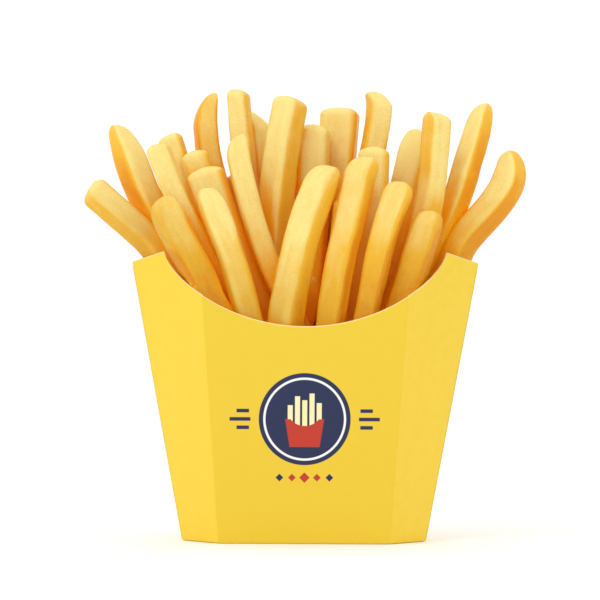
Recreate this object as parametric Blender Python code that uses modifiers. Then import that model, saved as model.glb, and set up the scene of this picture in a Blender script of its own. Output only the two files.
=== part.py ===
"""French fries standing in a folded yellow carton, at real size.

Metres, +Z up. The origin is the middle of the carton's base. The scooped front looks along -Y.
"""

import math
import random
from collections import namedtuple

import bmesh
import bpy
from mathutils import Vector

MM = 0.001

# The carton is a six-sided tube of board that widens upwards: a front and a back panel, and a pair of
# slanting panels at each side that meet in a crease on the plane y = 0.
BOARD = 0.6 * MM
BASE_PANEL = 62.0 * MM
BASE_WIDTH = 90.6 * MM
BASE_DEPTH = 34.0 * MM
TOP_Z = 108.0 * MM
TOP_PANEL = 76.6 * MM
TOP_WIDTH = 131.6 * MM
# With this depth the slanting panels are flat, as folded board is.
TOP_DEPTH = BASE_DEPTH * (TOP_WIDTH - TOP_PANEL) / (BASE_WIDTH - BASE_PANEL)

# The front's edge is a scoop between two short shoulders, and the back's edge is a low arch.
SCOOP_Z = 78.2 * MM
SCOOP_HALF = 51.8 * MM
SCOOP_POWER = 0.7
SHOULDER_Z = 106.0 * MM
CREASE_Z = 103.4 * MM
ARCH_Z = 120.0 * MM

# The fries. Those that show are listed; the others fill the mouth on a grid.
GAP = 0.4 * MM
MOUTH_Z = 84.0 * MM
FOOT_DROP = 22.0 * MM
FLOOR_Z = BOARD + GAP
CORE_SIDE_Z = 84.0 * MM
CORE_SLOPE = 0.5
SECTION_POWER = 5.0
SECTION_POINTS = 8
BODY_RINGS = 4
END_RINGS = (0.55, 0.85, 1.0)
BLUNT = 0.25

# A fry is held clear of the board, with HOLD_ROOM times its half size, up to HOLD_ABOVE over the edge.
# Above that the shift fades away within HOLD_FADE, and the centre line is averaged at SMOOTHING.
HOLD_ABOVE = 3.9 * MM
HOLD_FADE = 28.0 * MM
LEAVE_STEPS = 50
SMOOTHING = (-0.08, -0.04, 0, 0.04, 0.08)
HOLD_ROOM = 1.14

# The other fries, in millimetres and degrees. A pair is the smallest and the largest of what is drawn.
FILL_SEED = 7
FILL_STEP_X = 10.0
FILL_STEP_Y = 9.5
FILL_ROWS = 2
FILL_REACH = 40.0
FILL_WALL = 7.0
FILL_CLEAR = 7.0
FILL_FAN_X = 1.4
FILL_FAN_Y = 1.45
FILL_FRONT_TOP = (97, 104)
FILL_BACK_TOP = (128, 138)
FILL_SIDE_DROP = 0.12
FILL_SIZE = (7.6, 9.4)
FILL_END = (3, 8)
FILL_END_SHAPE = 2.2

# Colours as (red, green, blue), linear.
CARTON_YELLOW = (0.91, 0.63, 0.06)
FRY_GOLD = (0.90, 0.62, 0.20)

# A fry, in millimetres and degrees. mouth is (x, y) at MOUTH_Z and tip is (x, y, z). It bends at the
# share knee of its length, where bow is half of how far the bend lies to the right of a straight line.
# size is its two thicknesses, swell the share by which it gets thicker upwards, and roll how far its
# front face is turned to the left. end is the length of the tapered end, the side that stays straight
# there, from -1 for the left to 1 for the right, and its shape: 1 is a slanting cut and 2 is round.
Fry = namedtuple("Fry", "mouth tip bow size roll end knee swell", defaults=(0.5, 0.0))

SHOWN = (
    # Front row, left to right.
    Fry((-32.6, -19.2), (-52.4, -26, 124.6), -1.5, (10.8, 10.6), -15, (10, 0.3, 2.2)),
    Fry((-21.2, -21), (-36.3, -27, 128.1), 1.0, (9.0, 9.0), -14, (10, -0.3, 2.2)),
    Fry((-6.2, -21), (8, -28, 136.7), -2.0, (10.8, 10.8), 32, (11, 0.6, 2.2)),
    Fry((9.8, -21), (21.9, -27, 139.9), -1.2, (9.4, 9.0), 26, (8, 0.6, 2.2), 0.5, 0.06),
    Fry((22.4, -21), (34.6, -26, 130.9), -1.1, (9.0, 8.8), 12, (7, 0.4, 2.2), 0.5, 0.24),
    Fry((34.4, -16), (45.2, -22, 120.9), 0.8, (10.2, 9.3), 20, (8, 0.3, 2.4)),
    # Second row.
    Fry((-34, -2), (-81.4, -3, 131.0), 0.0, (9.3, 9.1), -33, (4, 0.7, 2.4)),
    Fry((-25.5, -9), (-55.2, -13, 145.9), -1.7, (8.0, 7.8), 8, (3.5, -0.5, 2.6)),
    Fry((-5, -10), (-26, -16, 148.9), -3.0, (8.0, 8.0), -8, (9, 0.8, 2.0)),
    Fry((18, -4), (25.4, -9, 145.9), 1.5, (11.0, 9.0), 8, (4, 0.0, 2.6)),
    Fry((31.4, -6), (48.4, -10, 158.9), 4.8, (8.3, 8.2), -36, (4, -0.8, 1.8)),
    Fry((38, 1), (75.7, 0, 145.8), 9.6, (10.2, 9.8), 42, (15, 0.0, 1.6), 0.78),
    # Third row.
    Fry((-32, 6), (-69.8, 5, 156.3), -5.2, (10.4, 10.1), -44, (20, -0.6, 1.75), 0.58),
    Fry((-17.4, -2), (-38.1, -8, 137.9), -1.0, (14.0, 9.4), 0, (4, 0.0, 2.4)),
    Fry((-23, 5), (-42.4, 1, 145.4), -1.0, (10.4, 9.4), -8, (4, 0.2, 2.6)),
    Fry((-11.2, 1), (-5.4, -3, 165.4), -2.9, (10.5, 10.2), 38, (4, -0.3, 2.6)),
    Fry((35, 3), (66.7, 3, 164.6), 4.4, (8.6, 8.4), 45, (13, 0.4, 1.8)),
    # Back rows.
    Fry((-27.7, 11), (-52, 8, 152.7), -1.0, (8.8, 8.8), 8, (3, 0.6, 2.2)),
    Fry((-4.6, 18), (-38.9, 17, 170.4), -9.2, (8.6, 8.4), -15, (14, 1.0, 1.5), 0.57),
    Fry((-12.2, 12), (-26, 12, 170.9), -2.0, (8.0, 8.0), 12, (4, -0.8, 2.2)),
    Fry((-13, 22), (-19, 22, 164.6), 0.0, (8.8, 8.6), -30, (8, -1.0, 1.2)),
    Fry((0.8, 9), (3.1, 7, 156.6), 0.4, (11.8, 10.0), 12, (4.5, -0.3, 2.2)),
    Fry((7.5, 20), (13.3, 18, 164.9), 0.6, (12.2, 10.0), 10, (4, 0.2, 2.4), 0.5, 0.38),
    Fry((4, 13), (27.2, 11, 170.9), 4.8, (8.6, 8.4), -15, (15, -1.0, 1.25), 0.84),
    Fry((28.8, 6), (42.2, 6, 154.9), -0.8, (10.2, 8.8), 10, (12, 0.0, 1.8)),
    # Short ones at the back, seen only through the gaps.
    Fry((-12, 22), (-28, 22, 139.5), -1, (9, 9), 20, (6, 0.3, 2.2)),
    Fry((-2, 18), (-1.5, 17, 145), 0.5, (9, 9), 10, (5, 0, 2.2)),
    Fry((28, 15), (43.8, 15, 146), 0.5, (9, 9), 20, (5, 0, 2.2)),
)


def half_panel(z):
    return (BASE_PANEL + (TOP_PANEL - BASE_PANEL) * z / TOP_Z) / 2


def half_width(z):
    return (BASE_WIDTH + (TOP_WIDTH - BASE_WIDTH) * z / TOP_Z) / 2


def half_depth(z):
    return (BASE_DEPTH + (TOP_DEPTH - BASE_DEPTH) * z / TOP_Z) / 2


CREASE_X = half_width(CREASE_Z)
SLANT = (BASE_WIDTH - BASE_PANEL) / BASE_DEPTH


def front_rim(x):
    """Height of the front's edge at x."""
    across = abs(x) / SCOOP_HALF
    if across < 1:
        return SHOULDER_Z - (SHOULDER_Z - SCOOP_Z) * (1 - across**2) ** SCOOP_POWER
    along = (abs(x) - SCOOP_HALF) / (CREASE_X - SCOOP_HALF)
    return SHOULDER_Z + (CREASE_Z - SHOULDER_Z) * min(along, 1)


def back_rim(x):
    """Height of the back's edge at x."""
    across = min(abs(x) / CREASE_X, 1)
    return CREASE_Z + (ARCH_Z - CREASE_Z) * (1 - across**2)


def fold_at(rim):
    """x at which this edge crosses the fold beside the middle panel."""
    low, high = 0.0, CREASE_X
    for _ in range(40):
        middle = (low + high) / 2
        if middle < half_panel(rim(middle)):
            low = middle
        else:
            high = middle
    return low


def spread(start, stop, count):
    return [start + (stop - start) * i / count for i in range(count)]


def column(x, z, side):
    """(foot, top) of the line up the wall that reaches the edge at x and z."""
    panel, width = half_panel(z), half_width(z)
    share = max(0, (abs(x) - panel) / (width - panel))
    if share == 0:
        foot_x = x / panel * half_panel(0)
    else:
        foot_x = math.copysign(half_panel(0) + share * (half_width(0) - half_panel(0)), x)
    foot = Vector((foot_x, side * half_depth(0) * (1 - share), 0))
    return foot, Vector((x, side * half_depth(z) * (1 - share), z))


def carton_columns():
    """The wall's columns, counter-clockwise as seen from above, from the left crease round the front."""
    front, back = fold_at(front_rim), fold_at(back_rim)
    front_x = (
        spread(-CREASE_X, -SCOOP_HALF, 2)
        + spread(-SCOOP_HALF, -front, 6)
        + spread(-front, front, 14)
        + spread(front, SCOOP_HALF, 6)
        + spread(SCOOP_HALF, CREASE_X, 2)
    )
    back_x = spread(CREASE_X, back, 4) + spread(back, -back, 10) + spread(-back, -CREASE_X, 4)
    return [column(x, front_rim(x), -1) for x in front_x] + [column(x, back_rim(x), 1) for x in back_x]


def make_carton(collection):
    """The outer face of the board, thickened inwards."""
    bm = bmesh.new()
    columns = [(bm.verts.new(foot), bm.verts.new(top)) for foot, top in carton_columns()]
    for (foot, top), (next_foot, next_top) in zip(columns, columns[1:] + columns[:1]):
        bm.faces.new((foot, next_foot, next_top, top))
    bm.faces.new([foot for foot, _ in reversed(columns)])
    carton = add_object("carton", bm, collection, material("carton_board", CARTON_YELLOW, 0.45))
    board = carton.modifiers.new("board", "SOLIDIFY")
    board.thickness = BOARD
    board.offset = -1
    board.use_even_offset = True
    return carton


def hold_inside(point, radius, lean):
    """A point of the centre line, moved inwards until the fry clears the board."""
    x, y, z = point
    clear = (radius * (1 + lean) / 2 + BOARD + GAP) * math.hypot(1, SLANT)
    too_wide = abs(x) + SLANT * abs(y) - half_width(z) + clear
    if too_wide > 0:
        step_y = min(abs(y), too_wide * SLANT / (1 + SLANT**2))
        x -= math.copysign(too_wide - SLANT * step_y, x)
        y -= math.copysign(step_y, y)
    too_deep = abs(y) - half_depth(z) + radius + BOARD + GAP
    if too_deep > 0:
        y -= math.copysign(too_deep, y)
    return Vector((x, y, z))


def centre_line(fry):
    """A function of t for the fry's centre line, from the mouth at 0 to the tip at 1, and its length.

    Below the board's edge it is held clear of the board, and above it that shift fades away. The line is
    averaged over a short stretch, so that it has no kink there.
    """
    mouth = Vector((fry.mouth[0] * MM, fry.mouth[1] * MM, MOUTH_Z))
    tip = Vector(fry.tip) * MM
    chord = tip - mouth
    right = Vector((chord.z, 0, -chord.x)).normalized()
    bend = mouth + fry.knee * chord + 2 * fry.bow * MM * right
    radius = max(fry.size) * MM / 2 * HOLD_ROOM
    lean = chord.length / chord.z
    foot = mouth - (bend - mouth).normalized() * FOOT_DROP

    def free(t):
        if t < 0:
            return mouth + (mouth - foot) * t
        return (1 - t) ** 2 * mouth + 2 * t * (1 - t) * bend + t**2 * tip

    rim = front_rim if fry.mouth[1] < 0 else back_rim
    steps = [i / LEAVE_STEPS for i in range(LEAVE_STEPS)]
    leave = next(t for t in steps + [1] if t == 1 or free(t).z > rim(free(t).x) + HOLD_ABOVE)
    shift = hold_inside(free(leave), radius, lean) - free(leave)

    def held(t):
        point = free(t)
        if t < leave:
            return hold_inside(point, radius, lean)
        share = min(1, (point.z - free(leave).z) / HOLD_FADE)
        return point + shift * (1 - share**2 * (3 - 2 * share))

    def at(t):
        return sum((held(t + step) for step in SMOOTHING), Vector()) / len(SMOOTHING)

    return at, chord.length


def section(points, power):
    """A rounded square of half size 1."""
    angles = [2 * math.pi * (i + 0.5) / points for i in range(points)]
    return [
        (
            math.copysign(abs(math.cos(a)) ** (2 / power), math.cos(a)),
            math.copysign(abs(math.sin(a)) ** (2 / power), math.sin(a)),
        )
        for a in angles
    ]


def fry_rings(fry):
    """Rings of points along the fry, from its foot to its blunt end."""
    at, length = centre_line(fry)
    end_length, side, power = fry.end
    start = 1 - end_length * MM / length
    places = [(-1, 0), (0, 0)] + [(start * (i + 1) / BODY_RINGS, 0) for i in range(BODY_RINGS)]
    places += [(start + (1 - start) * q, q) for q in END_RINGS]
    roll = math.radians(fry.roll)
    half_u, half_v = fry.size[0] * MM / 2, fry.size[1] * MM / 2
    reach = half_u * abs(math.cos(roll)) + half_v * abs(math.sin(roll))
    rings = []
    for t, q in places:
        middle = at(t)
        along = (at(t + 0.02) - at(t - 0.02)).normalized()
        right = Vector((0, 1, 0)).cross(along).normalized()
        away = along.cross(right)
        scale = BLUNT + (1 - BLUNT) * (1 - q**power) ** (1 / power)
        middle = middle + right * side * (1 - scale) * reach
        scale *= 1 + fry.swell * (max(t, 0) - 0.5)
        across = right * math.cos(roll) - away * math.sin(roll)
        through = away * math.cos(roll) + right * math.sin(roll)
        rings.append(
            [
                middle + across * u * half_u * scale + through * v * half_v * scale
                for u, v in section(SECTION_POINTS, SECTION_POWER)
            ]
        )
    return rings


def loft(rings):
    """A closed body through rings of equally many points."""
    bm = bmesh.new()
    rows = [[bm.verts.new(point) for point in ring] for ring in rings]
    for row, following in zip(rows, rows[1:]):
        for i in range(len(row)):
            j = (i + 1) % len(row)
            bm.faces.new((row[i], row[j], following[j], following[i]))
    bm.faces.new(rows[0][::-1])
    bm.faces.new(rows[-1])
    bmesh.ops.recalc_face_normals(bm, faces=bm.faces)
    return bm


def core_body():
    """A block that fills the carton with a small gap to the board. Its top rises towards the back."""
    gap = BOARD + GAP
    slant_gap = gap * math.hypot(1, SLANT)

    def corner(x_side, y_side, z):
        """A corner of the block's outline: x_side 1 or -1, y_side -1, 0 or 1."""
        y = y_side * (half_depth(z) - gap)
        return Vector((x_side * (half_width(z) - slant_gap - SLANT * abs(y)), y, z))

    outline = ((-1, -1), (1, -1), (1, 0), (1, 1), (-1, 1), (-1, 0))
    bottom = [corner(x_side, y_side, FLOOR_Z) for x_side, y_side in outline]
    rise = half_depth(1) - half_depth(0)
    top = []
    for x_side, y_side in outline:
        start = CORE_SIDE_Z + CORE_SLOPE * y_side * (half_depth(0) - gap)
        top.append(corner(x_side, y_side, start / (1 - CORE_SLOPE * y_side * rise)))
    return loft([bottom, top])


def filling():
    """Fries on a grid over the mouth, wherever no listed one stands. They fan out and stay lower."""
    rng = random.Random(FILL_SEED)
    taken = [Vector(fry.mouth) for fry in SHOWN]
    fries = []
    for row in range(-FILL_ROWS, FILL_ROWS + 1):
        y = row * FILL_STEP_Y
        reach = min(FILL_REACH, half_width(MOUTH_Z) / MM - SLANT * abs(y) - FILL_WALL)
        count = int(reach // (FILL_STEP_X / 2))
        for i in range(-count, count + 1, 2):
            spot = Vector((i * FILL_STEP_X / 2 + rng.uniform(-1, 1), y + rng.uniform(-1, 1)))
            top = rng.uniform(*(FILL_FRONT_TOP if spot.y < 0 else FILL_BACK_TOP))
            size, turn = rng.uniform(*FILL_SIZE), rng.uniform(-40, 40)
            drift, bow = rng.uniform(-3, 3), rng.uniform(-1.5, 1.5)
            end = (rng.uniform(*FILL_END), rng.uniform(-1, 1), FILL_END_SHAPE)
            if any((spot - other).length < FILL_CLEAR for other in taken):
                continue
            taken.append(spot)
            tip = (spot.x * FILL_FAN_X + drift, spot.y * FILL_FAN_Y, top - FILL_SIDE_DROP * abs(spot.x))
            fries.append(Fry(tuple(spot), tip, bow, (size, size), turn, end))
    return fries


def make_fries(collection):
    """The core and every fry, fused into one body."""
    look = material("fried_potato", FRY_GOLD, 0.5)
    fries = add_object("fries", core_body(), collection, look)
    pieces = bpy.data.collections.new("fry pieces")
    bpy.context.scene.collection.children.link(pieces)
    for fry in (*SHOWN, *filling()):
        add_object("fry", loft(fry_rings(fry)), pieces, look)
    fuse = fries.modifiers.new("fuse", "BOOLEAN")
    fuse.operation = "UNION"
    fuse.operand_type = "COLLECTION"
    fuse.collection = pieces
    fuse.solver = "MANIFOLD"
    bpy.context.view_layer.objects.active = fries
    bpy.ops.object.modifier_apply(modifier=fuse.name)
    for piece in list(pieces.objects):
        bpy.data.objects.remove(piece)
    bpy.data.collections.remove(pieces)
    keep_largest_body(fries)
    fries.data.shade_smooth()
    fries.data.set_sharp_from_angle(angle=math.radians(35))
    return fries


def keep_largest_body(obj):
    """Drops loose scraps, and the walls of hollows that fusing sealed."""
    bm = bmesh.new()
    bm.from_mesh(obj.data)
    unseen = set(bm.verts)
    bodies = []
    while unseen:
        body, edge = set(), [unseen.pop()]
        while edge:
            vertex = edge.pop()
            body.add(vertex)
            near = {e.other_vert(vertex) for e in vertex.link_edges} & unseen
            unseen -= near
            edge.extend(near)
        bodies.append(body)
    bodies.sort(key=len)
    for body in bodies[:-1]:
        bmesh.ops.delete(bm, geom=list(body), context="VERTS")
    bm.to_mesh(obj.data)
    bm.free()


def material(name, colour, roughness):
    made = bpy.data.materials.new(name)
    made.use_nodes = True
    shader = made.node_tree.nodes["Principled BSDF"]
    shader.inputs["Base Color"].default_value = (*colour, 1)
    shader.inputs["Roughness"].default_value = roughness
    made.diffuse_color = (*colour, 1)
    return made


def add_object(name, bm, collection, look):
    mesh = bpy.data.meshes.new(name)
    bm.to_mesh(mesh)
    bm.free()
    mesh.materials.append(look)
    obj = bpy.data.objects.new(name, mesh)
    collection.objects.link(obj)
    return obj


def main():
    for obj in list(bpy.data.objects):
        bpy.data.objects.remove(obj)
    collection = bpy.data.collections.new("french fries in a carton")
    bpy.context.scene.collection.children.link(collection)
    make_carton(collection)
    make_fries(collection)


main()
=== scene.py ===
"""The dressed french fries in their folded carton: detailed fries, printed board, studio and camera."""

import math
import random
from collections import namedtuple

import bpy
import numpy as np
from mathutils import Matrix, Vector, noise
from mathutils.bvhtree import BVHTree


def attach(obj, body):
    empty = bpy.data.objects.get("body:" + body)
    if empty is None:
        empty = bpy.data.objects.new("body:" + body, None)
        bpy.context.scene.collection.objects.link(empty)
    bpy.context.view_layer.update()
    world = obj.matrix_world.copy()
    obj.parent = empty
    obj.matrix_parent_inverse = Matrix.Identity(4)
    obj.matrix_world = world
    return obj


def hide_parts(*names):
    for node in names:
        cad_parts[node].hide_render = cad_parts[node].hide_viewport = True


MM = 0.001

# The carton, as in the part: a six-sided tube of board that widens upwards.
BOARD = 0.6 * MM
BASE_PANEL = 62.0 * MM
BASE_WIDTH = 90.6 * MM
BASE_DEPTH = 34.0 * MM
TOP_Z = 108.0 * MM
TOP_PANEL = 76.6 * MM
TOP_WIDTH = 131.6 * MM
TOP_DEPTH = BASE_DEPTH * (TOP_WIDTH - TOP_PANEL) / (BASE_WIDTH - BASE_PANEL)
SCOOP_Z = 78.2 * MM
SCOOP_HALF = 51.8 * MM
SCOOP_POWER = 0.7
SHOULDER_Z = 106.0 * MM
CREASE_Z = 103.4 * MM
ARCH_Z = 120.0 * MM

# Its details: rounded folds, corners and foot, the pale line of the cut edge, and the glued seam's step
# on the back, which fades out before it reaches the fold.
FOLD_RADIUS = 0.8 * MM
CORNER_ROUND = 1.0 * MM
FOOT_ROUND = 0.6 * MM
EDGE_LINE = 0.6 * MM
SEAM_X = 21.0 * MM
SEAM_WIDTH = 0.35 * MM
SEAM_STEP = 0.3 * MM
SEAM_END = 4.0 * MM

# Its grid. The front has columns from the middle to the fold, from there to the end of the scoop, and on
# to the crease, and the back has them from the middle to the fold and from there to the crease. More are
# added at a fold and at a corner, and there are rows at the foot and up the wall. HALVINGS is how often
# the search for a fold halves its step.
FRONT_COLUMNS = (30, 14, 6)
BACK_COLUMNS = (16, 10)
FOLD_COLUMNS = (-1.6, -1, -0.5, 0, 0.5, 1, 1.6)
FOLD_STEP = 0.45 * FOLD_RADIUS
CORNER_COLUMNS = (0, 0.35, 0.65, 0.85, 0.96)
FOOT_ROWS = (0, 0.35, 0.7)
BOARD_ROWS = 26
HALVINGS = 40

# The fries, as in the part, but over a lower core.
GAP = 0.4 * MM
MOUTH_Z = 84.0 * MM
FOOT_DROP = 22.0 * MM
FLOOR_Z = BOARD + GAP
CORE_SIDE_Z = 74.0 * MM
CORE_SLOPE = 0.5

# A fry is held clear of the board, with HOLD_ROOM times its half size, up to HOLD_ABOVE over the edge.
# Above that the shift fades away within HOLD_FADE, and the centre line is averaged at SMOOTHING.
HOLD_ABOVE = 3.9 * MM
HOLD_FADE = 28.0 * MM
LEAVE_STEPS = 50
SMOOTHING = (-0.08, -0.04, 0, 0.04, 0.08)
HOLD_ROOM = 1.14

# The fries that fill the mouth, in millimetres and degrees. A pair is the least and the most of a draw.
FILL_SEED = 7
FILL_STEP_X = 10.0
FILL_STEP_Y = 9.5
FILL_ROWS = 2
FILL_REACH = 40.0
FILL_WALL = 7.0
FILL_CLEAR = 7.0
FILL_FAN_X = 1.4
FILL_FAN_Y = 1.45
FILL_FRONT_TOP = (97, 104)
FILL_BACK_TOP = (128, 138)
FILL_SIDE_DROP = 0.12
FILL_SHIFT = (-1, 1)
FILL_SIZE = (7.6, 9.4)
FILL_ROLL = (-40, 40)
FILL_DRIFT = (-3, 3)
FILL_BOW = (-1.5, 1.5)
FILL_END = (3, 8)
FILL_END_SIDE = (-1, 1)
FILL_END_SHAPE = 2.2

# The mesh of a fry: its rings, the points of a ring, and how its end narrows and rounds off.
RING_STEP = 1.3 * MM
FOOT_RINGS = 12
FEWEST_RINGS = 8
SIDES = 28
END_STEPS = 14
BLUNT = 0.25
TIP_ROUND = 1.1
TIP_ROUND_LEAST = 4

# What is drawn for each fry: the power of its rounded square, how hollow its faces are, its twist in
# degrees, how much its thickness varies, and its place in the noise.
LOOK_SEED = 3
SQUARE_POWER = (4.4, 6.0)
HOLLOW = (0.0, 0.035)
TWIST = (-7, 7)
WAVINESS = (0.02, 0.045)
NOISE_SHIFT = (0, 100)

# Its waves, with SIZE_WAVES in its thickness for each sideways one, and its bumps as (length, height), in
# millimetres. TANGENT_STEP is the share of its length over which its direction is taken.
WAVE_LENGTH = 22
SIZE_WAVES = 1.3
SWAY = 0.5
TANGENT_STEP = 0.01
BUMPS = ((7, 0.16), (2.4, 0.06))

# How enclosed a point is, which the skin paints as shade between the fries: the number of rays that test
# it, how far they look, how far over the surface they start, in millimetres, and how much a ray rises at
# least, before it is brought to length 1.
RAYS = 14
RAY_REACH = 26.0 * MM
RAY_START = 0.25
RAY_LOWEST = 0.1

# The camera, from the photograph's view: 600 x 600 pixels, 0.3725 mm a pixel at the carton's creases.
# BASE_PX is the row of the carton's base.
FRAME_PX = 600
MM_PER_PX = 0.3725
CAMERA_AWAY = 700.0 * MM
CAMERA_Z = 45.0 * MM
CAMERA_X = -1.9 * MM
BASE_PX = 540
CAMERA_ROLL = 0.005
SENSOR = 36.0
CLIP_START = 0.01

# A fry, in millimetres and degrees. mouth is (x, y) at MOUTH_Z and tip is (x, y, z). It bends at the
# share knee of its length, where bow is half of how far the bend lies to the right of a straight line.
# size is its two thicknesses, swell the share by which it gets thicker upwards, and roll how far its
# front face is turned to the left. end is the length of the tapered end, the side that stays straight
# there, from -1 for the left to 1 for the right, and its shape: 1 is a slanting cut and 2 is round.
Fry = namedtuple("Fry", "mouth tip bow size roll end knee swell", defaults=(0.5, 0.0))

SHOWN = (
    # Front row, left to right.
    Fry((-32.6, -19.2), (-52.4, -26, 124.6), -1.5, (10.8, 10.6), -15, (10, 0.3, 2.2)),
    Fry((-21.2, -21), (-36.3, -27, 128.1), 1.0, (9.0, 9.0), -14, (10, -0.3, 2.2)),
    Fry((-6.2, -21), (8, -28, 136.7), -2.0, (10.8, 10.8), 32, (11, 0.6, 2.2)),
    Fry((9.8, -21), (21.9, -27, 139.9), -1.2, (9.4, 9.0), 26, (8, 0.6, 2.2), 0.5, 0.06),
    Fry((22.4, -21), (34.6, -26, 130.9), -1.1, (9.0, 8.8), 12, (7, 0.4, 2.2), 0.5, 0.24),
    Fry((34.4, -16), (45.2, -22, 120.9), 0.8, (10.2, 9.3), 20, (8, 0.3, 2.4)),
    # Second row.
    Fry((-34, -2), (-81.4, -3, 131.0), 0.0, (9.3, 9.1), -33, (4, 0.7, 2.4)),
    Fry((-25.5, -9), (-55.2, -13, 145.9), -1.7, (8.0, 7.8), 8, (3.5, -0.5, 2.6)),
    Fry((-5, -10), (-26, -16, 148.9), -3.0, (8.0, 8.0), -8, (9, 0.8, 2.0)),
    Fry((18, -4), (25.4, -9, 145.9), 1.5, (11.0, 9.0), 8, (4, 0.0, 2.6)),
    Fry((31.4, -6), (48.4, -10, 158.9), 4.8, (8.3, 8.2), -36, (4, -0.8, 1.8)),
    Fry((38, 1), (75.7, 0, 145.8), 9.6, (10.2, 9.8), 42, (15, 0.0, 1.6), 0.78),
    # Third row.
    Fry((-32, 6), (-69.8, 5, 156.3), -5.2, (10.4, 10.1), -44, (20, -0.6, 1.75), 0.58),
    Fry((-17.4, -2), (-38.1, -8, 137.9), -1.0, (14.0, 9.4), 0, (4, 0.0, 2.4)),
    Fry((-23, 5), (-42.4, 1, 145.4), -1.0, (10.4, 9.4), -8, (4, 0.2, 2.6)),
    Fry((-11.2, 1), (-5.4, -3, 165.4), -2.9, (10.5, 10.2), 38, (4, -0.3, 2.6)),
    Fry((35, 3), (66.7, 3, 164.6), 4.4, (8.6, 8.4), 45, (13, 0.4, 1.8)),
    # Back rows.
    Fry((-27.7, 11), (-52, 8, 152.7), -1.0, (8.8, 8.8), 8, (3, 0.6, 2.2)),
    Fry((-4.6, 18), (-38.9, 17, 170.4), -9.2, (8.6, 8.4), -15, (14, 1.0, 1.5), 0.57),
    Fry((-12.2, 12), (-26, 12, 170.9), -2.0, (8.0, 8.0), 12, (4, -0.8, 2.2)),
    Fry((-13, 22), (-19, 22, 164.6), 0.0, (8.8, 8.6), -30, (8, -1.0, 1.2)),
    Fry((0.8, 9), (3.1, 7, 156.6), 0.4, (11.8, 10.0), 12, (4.5, -0.3, 2.2)),
    Fry((7.5, 20), (13.3, 18, 164.9), 0.6, (12.2, 10.0), 10, (4, 0.2, 2.4), 0.5, 0.38),
    Fry((4, 13), (27.2, 11, 170.9), 4.8, (8.6, 8.4), -15, (15, -1.0, 1.25), 0.84),
    Fry((28.8, 6), (42.2, 6, 154.9), -0.8, (10.2, 8.8), 10, (12, 0.0, 1.8)),
    # Short ones at the back, seen only through the gaps.
    Fry((-12, 22), (-28, 22, 139.5), -1, (9, 9), 20, (6, 0.3, 2.2)),
    Fry((-2, 18), (-1.5, 17, 145), 0.5, (9, 9), 10, (5, 0, 2.2)),
    Fry((28, 15), (43.8, 15, 146), 0.5, (9, 9), 20, (5, 0, 2.2)),
)

# The golden side of a fry low down and at its top, from left at -1 to right at 1, and more where darker.
# It is painted shade on the side away from the light, as well as browning.
EVEN, RIGHT, LEFT, TURNED, LOW_LEFT = (0, 0), (1, 1), (-1, -1), (1, -0.65), (-1.4, 0)
DARK_RIGHT, DARK_LEFT, LOW_RIGHT = (1.4, 1.4), (-1.4, -1.4), (1.2, 0)
SOFT_RIGHT, SOFT_LEFT = (0.8, 0.8), (-0.7, -0.7)

# How golden each listed fry is all round, and its golden side, which is painted shade as well as browning.
# 0 is pale, and below 0 it stays pale where other gold is added.
LOOKS = (
    # Front row, left to right.
    (1.25, LOW_LEFT), (0.14, LOW_RIGHT), (0.20, SOFT_RIGHT), (0.75, RIGHT), (1.20, RIGHT), (1.20, RIGHT),
    # Second row.
    (-0.20, SOFT_LEFT), (0.22, EVEN), (0.12, EVEN), (0.20, RIGHT), (0.35, TURNED), (-0.10, DARK_RIGHT),
    # Third row.
    (0.05, DARK_LEFT), (0.15, EVEN), (0.25, RIGHT), (0.08, SOFT_RIGHT), (0.12, DARK_RIGHT),
    # Back rows.
    (0.15, RIGHT), (1.70, DARK_LEFT), (0.10, RIGHT), (0.10, LEFT),
    (0.00, EVEN), (0.15, RIGHT), (0.10, LEFT), (-0.35, SOFT_RIGHT),
    # Short ones at the back.
    (0.90, RIGHT), (0.90, RIGHT), (0.90, RIGHT),
)
FILL_TONE = (0.8, 1.2)

# How these values work. The gold all round counts TONE_LOW times low down and TONE_FADE less at the top:
# the fry's own tone, with painted shade that grows towards its foot.
# A face on the golden side is the more golden the more it looks that way, by GOLD_CONTRAST, and one that
# looks straight to either side by SIDE_GOLD at least: painted shade on the side away from the light and on
# the flanks, as well as browning. That fades by PALE_END at the end of the fry.
# Behind the first of SUNK_ROWS, in millimetres, fries get darker low down, and behind the second fully so:
# painted shade from the rows in front.
# All get darker within LOW_REACH over the board's edge, as painted shade from the carton's rim. A span is
# where a value starts to change and where it has changed: a place along the fry, or how far a face looks to
# the side.
TONE_LOW = 0.9
TONE_FADE = 0.6
TONE_SPAN = (0.25, 0.75)
TURN_SPAN = (0.45, 0.75)
GOLD_CONTRAST = 1.15
GOLD_SPAN = (0.05, 0.75)
SIDE_GOLD = 0.45
SIDE_SPAN = (0.72, 1.0)
PALE_END = 0.5
SUNK_ROWS = (-18.0, -6.0)
SUNK_SPAN = (0.4, 0.85)
LOW_REACH = 34.0 * MM

# Colours as (red, green, blue), linear.
FRY_PALE = (0.875, 0.71, 0.25)
FRY_GOLD = (0.84, 0.48, 0.035)
FRY_TOASTED = (0.80, 0.33, 0.012)
FRY_END = (0.87, 0.58, 0.13)
# The next two are painted shade: the colour between the fries, and the darkening near the carton's rim.
FRY_PAINTED_SHADE = (0.93, 0.455, 0.008)
LOW_SHADE = (0.83, 0.78, 0.58)
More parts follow.
